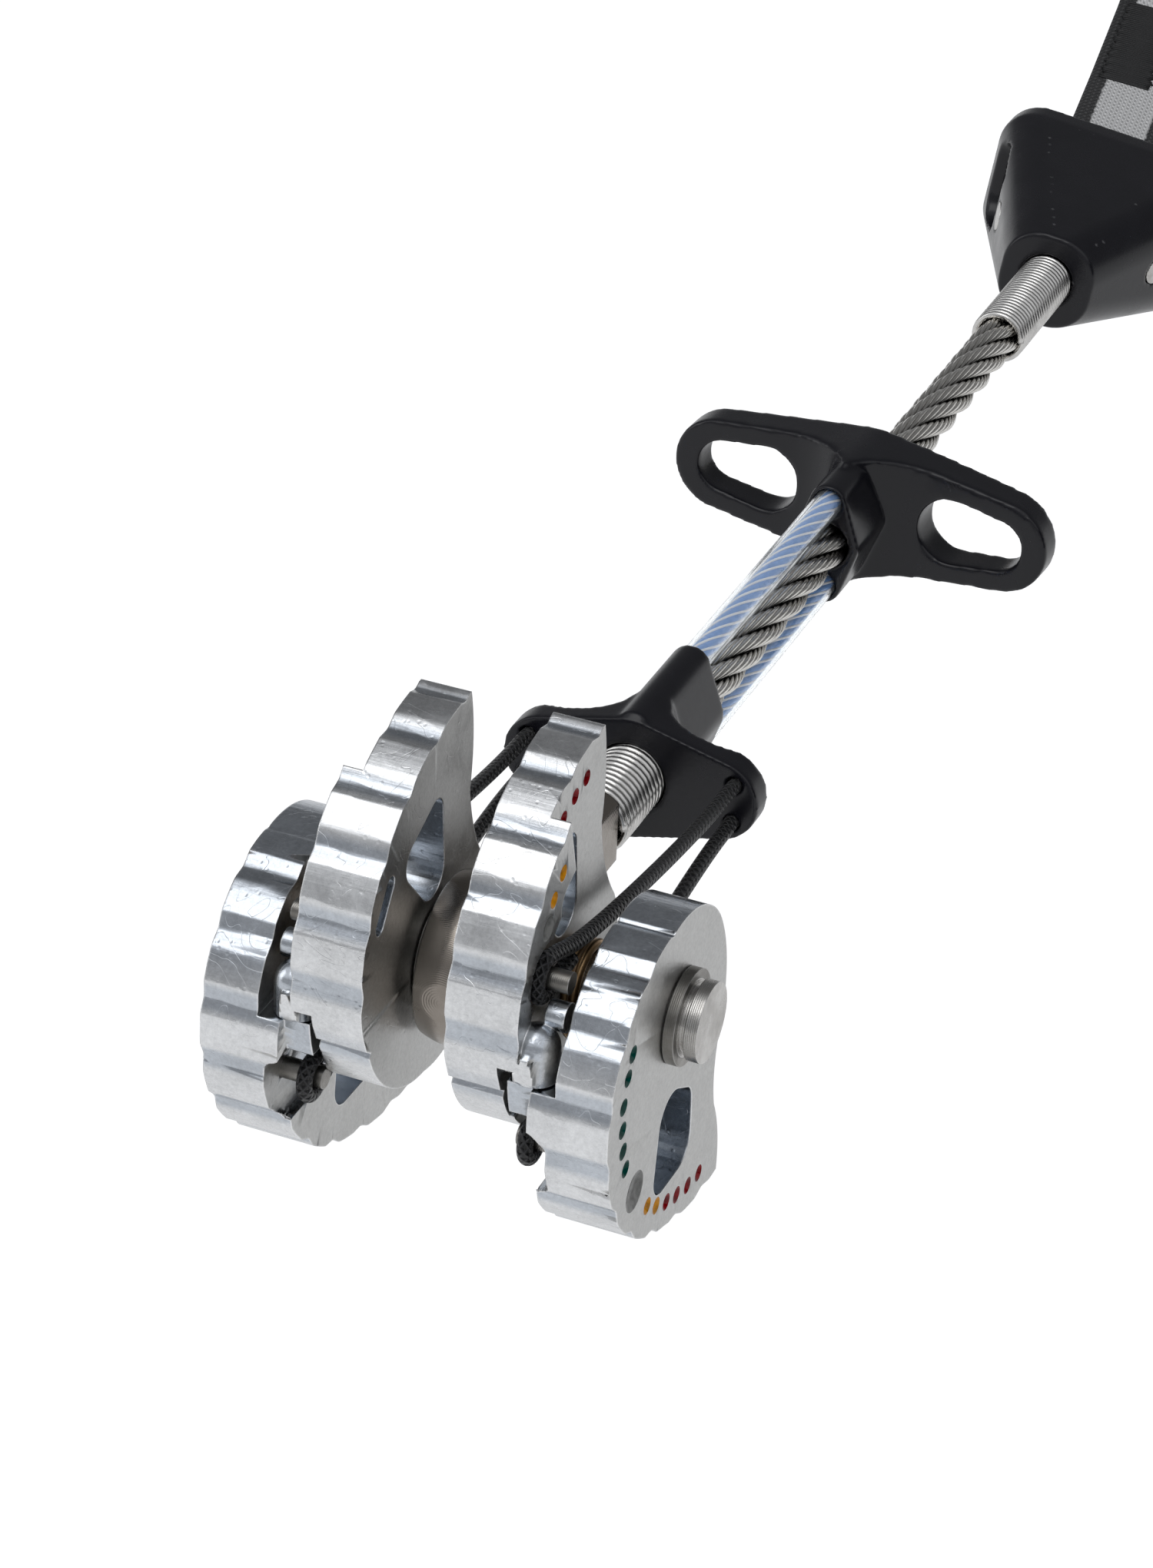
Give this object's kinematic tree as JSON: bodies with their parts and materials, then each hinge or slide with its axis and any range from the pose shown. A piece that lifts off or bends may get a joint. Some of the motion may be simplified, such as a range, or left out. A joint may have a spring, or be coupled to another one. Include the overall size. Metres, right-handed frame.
{
  "type": "spring loaded camming device",
  "caption": "Climbing protection device: toothed spiral cam lobes on an axle, opened by a trigger bar on a cable stem with a thumb piece and sewn sling.",
  "frame": {"origin": "centre of the axle, midway between the lobes", "axes": "+X along the axle, +Y back along the stem to the sling, +Z to the inner lobes' tips"},
  "size_m": [0.0396, 0.2889, 0.0454],
  "materials": {
    "milled_aluminium": "tumbled and milled bright",
    "polished_steel": "turned, satin",
    "turned_steel": "turned",
    "swaged_steel": "swaged and turned, warm grey",
    "steel_wire": "bright drawn wire",
    "bronze_wire": "drawn spring wire, bronze tone",
    "black_anodised": "black satin anodised",
    "clear_sleeve": "clear heat-shrunk sleeve",
    "link_wire": "fine cable with a blue trace",
    "black_cord": "braided",
    "white_webbing": "woven, black edge bands"
  },
  "bodies": {
    "stem": {"axle": "polished_steel", "washer_left": "turned_steel", "washer_right": "turned_steel", "spacer_left": "turned_steel", "spacer_right": "turned_steel", "terminal": "swaged_steel", "stem_coil": "steel_wire", "stem_cable": "steel_wire", "ferrule_coil": "steel_wire", "thumb_piece": "black_anodised", "sling_pin": "polished_steel", "sling": "white_webbing", "torsion_spring_left": "bronze_wire", "torsion_spring_right": "bronze_wire"},
    "trigger_set": {"yoke": "black_anodised", "trigger": "black_anodised", "link_sleeve_upper": "clear_sleeve", "link_sleeve_lower": "clear_sleeve", "link_cable_upper": "link_wire", "link_cable_lower": "link_wire", "cord_inner_left": "black_cord", "cord_inner_right": "black_cord", "cord_outer_left": "black_cord", "cord_outer_right": "black_cord"},
    "lobe_inner_left": {"cam_inner_left": "milled_aluminium", "cord_pin_inner_left": "turned_steel"},
    "lobe_inner_right": {"cam_inner_right": "milled_aluminium", "cord_pin_inner_right": "turned_steel"},
    "lobe_outer_left": {"cam_outer_left": "milled_aluminium", "cord_pin_outer_left": "turned_steel"},
    "lobe_outer_right": {"cam_outer_right": "milled_aluminium", "cord_pin_outer_right": "turned_steel"}
  },
  "joints": [
    {"name": "trigger_pull", "type": "slide", "parent": "stem", "child": "trigger_set", "axis": [0, 1, 0], "range_m": [0, 0.01], "stiffness_N_per_m": 700, "springref_m": -0.006, "deforming": ["cord_inner_left", "cord_inner_right", "cord_outer_left", "cord_outer_right"]},
    {"name": "lobe_inner_left_turn", "type": "hinge", "parent": "stem", "child": "lobe_inner_left", "pos_m": [0, 0, 0], "axis": [1, 0, 0], "range_deg": [-64, 0]},
    {"name": "lobe_inner_right_turn", "type": "hinge", "parent": "stem", "child": "lobe_inner_right", "pos_m": [0, 0, 0], "axis": [1, 0, 0], "range_deg": [-64, 0]},
    {"name": "lobe_outer_left_turn", "type": "hinge", "parent": "stem", "child": "lobe_outer_left", "pos_m": [0, 0, 0], "axis": [1, 0, 0], "range_deg": [0, 57]},
    {"name": "lobe_outer_right_turn", "type": "hinge", "parent": "stem", "child": "lobe_outer_right", "pos_m": [0, 0, 0], "axis": [1, 0, 0], "range_deg": [0, 57]}
  ],
  "couplings": [
    {"joint": "lobe_inner_left_turn", "follows": "trigger_pull", "rad_per_m": -111.6},
    {"joint": "lobe_inner_right_turn", "follows": "trigger_pull", "rad_per_m": -111.6},
    {"joint": "lobe_outer_left_turn", "follows": "trigger_pull", "rad_per_m": 99.4},
    {"joint": "lobe_outer_right_turn", "follows": "trigger_pull", "rad_per_m": 99.4}
  ]
}
